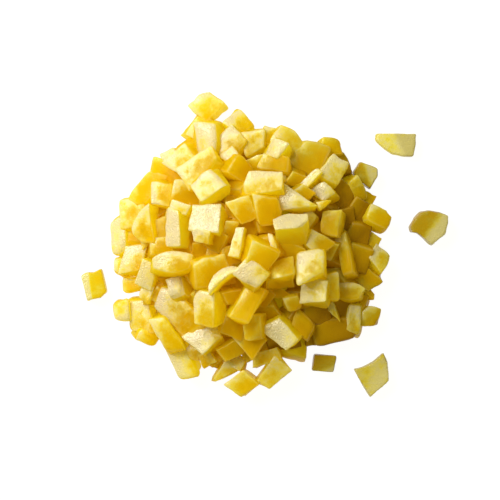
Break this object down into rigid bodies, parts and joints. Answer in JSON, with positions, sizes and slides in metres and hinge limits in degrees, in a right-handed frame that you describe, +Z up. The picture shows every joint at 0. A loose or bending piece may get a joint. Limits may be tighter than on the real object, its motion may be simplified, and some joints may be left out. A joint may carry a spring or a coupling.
{
  "type": "diced mango",
  "caption": "Loose heap of hand-cut ripe mango dice as it lies on a flat surface, with a few dice scattered beside it.",
  "frame": {"origin": "middle of the heap's flat underside, on the surface that the dice lie on", "axes": "+Z up; +X and +Y lie in the surface, +Y towards the side where two dice stand out furthest from the heap"},
  "size_m": [0.1628, 0.1372, 0.0398],
  "materials": {
    "mango_flesh": "satin"
  },
  "bodies": {
    "root": {"mango_heap": "mango_flesh", "stray_west": "mango_flesh", "stray_half_moon": "mango_flesh", "stray_north_east": "mango_flesh", "stray_east": "mango_flesh", "stray_south": "mango_flesh", "stray_south_east": "mango_flesh"}
  },
  "joints": []
}
